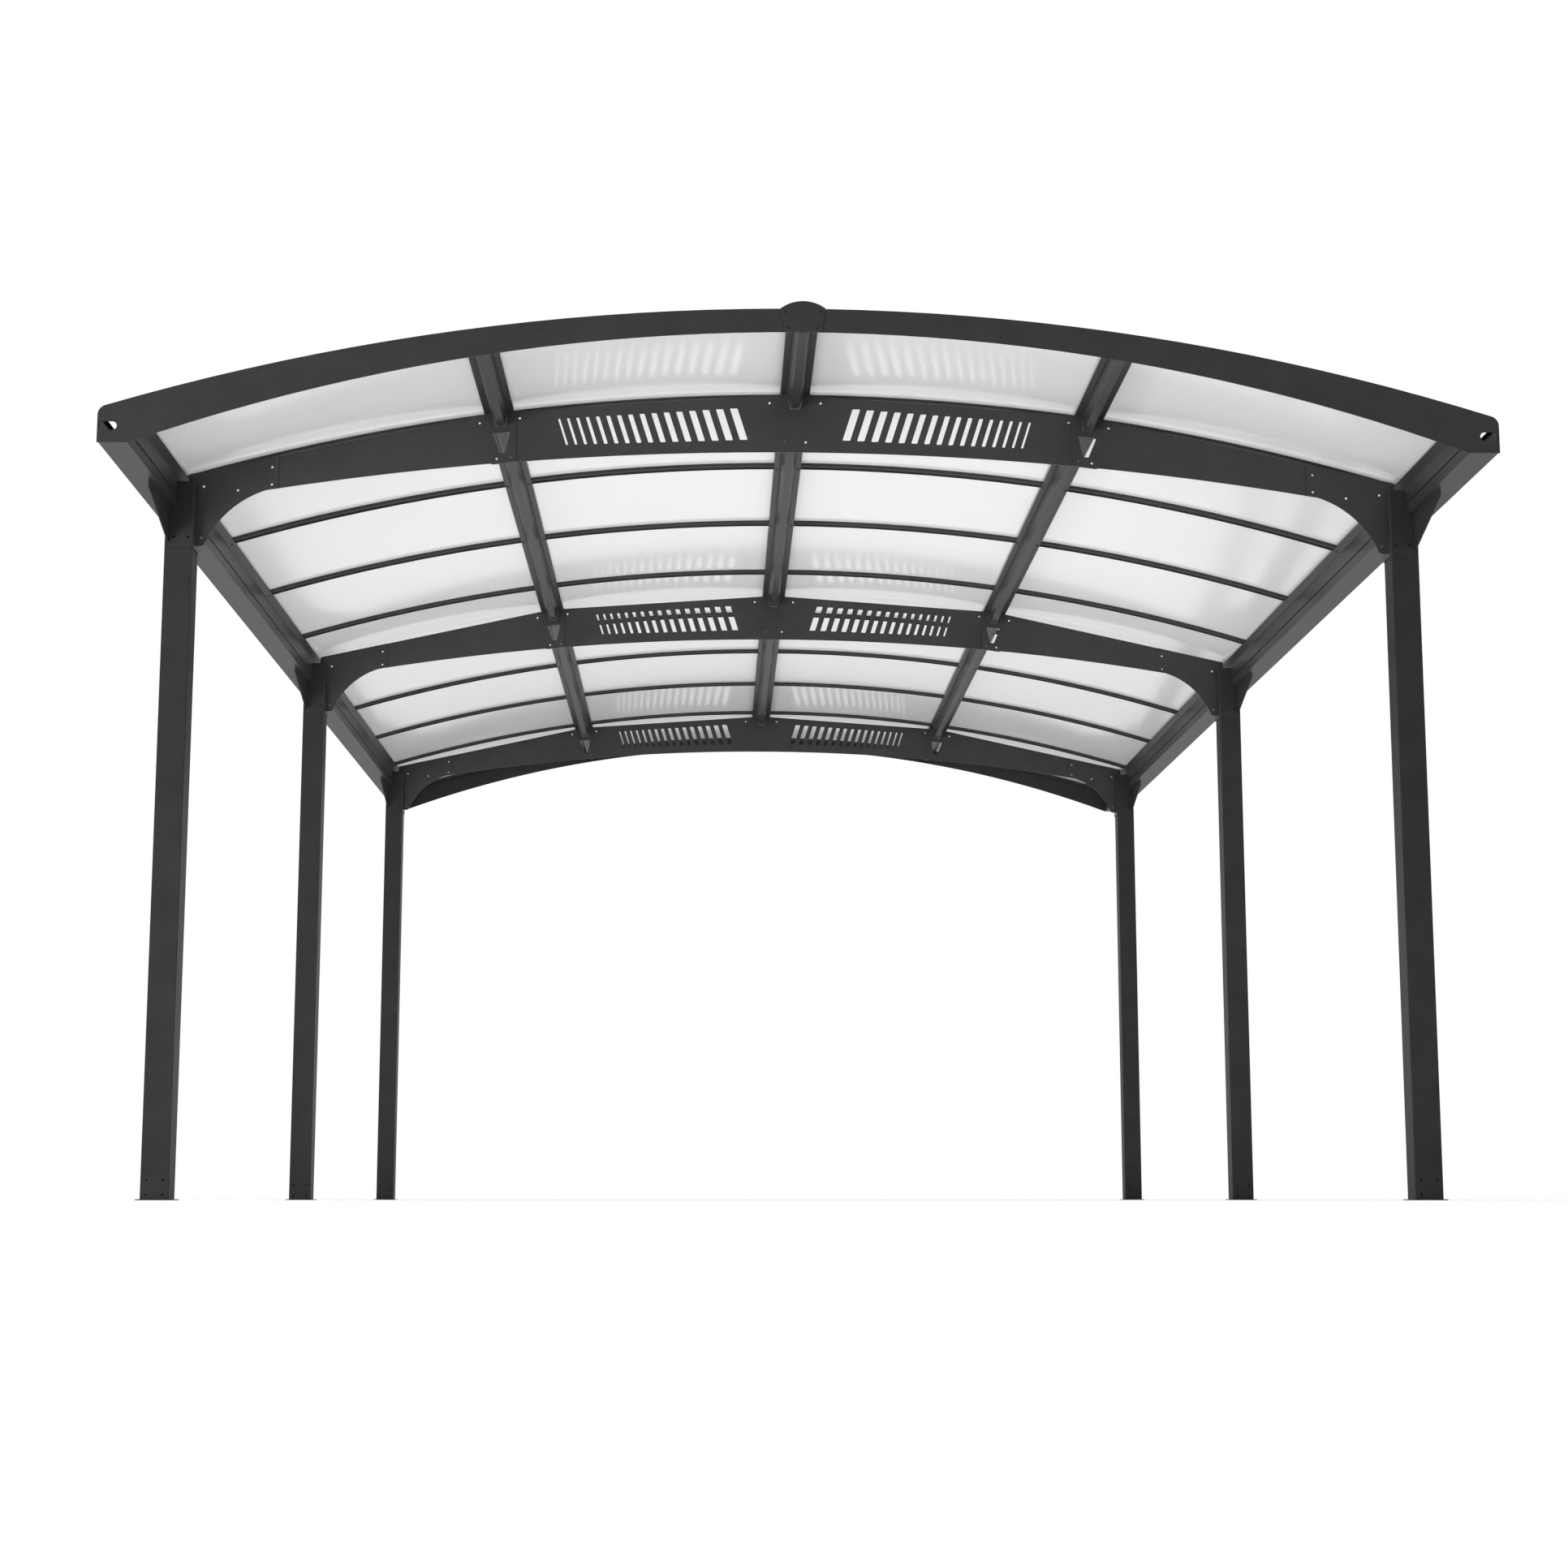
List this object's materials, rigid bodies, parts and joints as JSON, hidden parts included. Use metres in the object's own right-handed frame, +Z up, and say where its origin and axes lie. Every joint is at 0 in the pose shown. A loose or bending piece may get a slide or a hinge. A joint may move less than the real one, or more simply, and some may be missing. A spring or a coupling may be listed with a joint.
{
  "type": "arched roof carport",
  "caption": "Open carport with slim square posts, slotted arched roof trusses, purlins, side gutters and a curved translucent panel roof.",
  "frame": {"origin": "floor level under the middle of the plan", "axes": "+X across the width to the right seen from the front, +Y along the length to the back, +Z up"},
  "size_m": [3.62, 6.362, 2.309],
  "materials": {
    "frame": "fine matt powder coat, anthracite grey",
    "foot": "fine matt powder coat, anthracite grey",
    "roof_panel": "glossy translucent white polycarbonate"
  },
  "bodies": {
    "root": {"post_front_left": "frame", "post_front_right": "frame", "post_middle_left": "frame", "post_middle_right": "frame", "post_back_left": "frame", "post_back_right": "frame", "feet_left": "foot", "feet_right": "foot", "heads_left": "frame", "heads_right": "frame", "truss_front_left": "frame", "truss_front_right": "frame", "truss_front_arms": "frame", "truss_front_haunches": "frame", "truss_middle_left": "frame", "truss_middle_right": "frame", "truss_middle_arms": "frame", "truss_middle_haunches": "frame", "truss_back_left": "frame", "truss_back_right": "frame", "truss_back_arms": "frame", "truss_back_haunches": "frame", "ridge_purlin": "frame", "purlin_left": "frame", "purlin_right": "frame", "gutter_left": "frame", "gutter_right": "frame", "fascia_front_left": "frame", "fascia_front_right": "frame", "fascia_back_left": "frame", "fascia_back_right": "frame", "ridge_plate_front": "frame", "ridge_plate_back": "frame", "ridge_cover": "frame", "bars_left": "frame", "bars_right": "frame", "panels_left": "roof_panel", "panels_right": "roof_panel"}
  },
  "joints": []
}
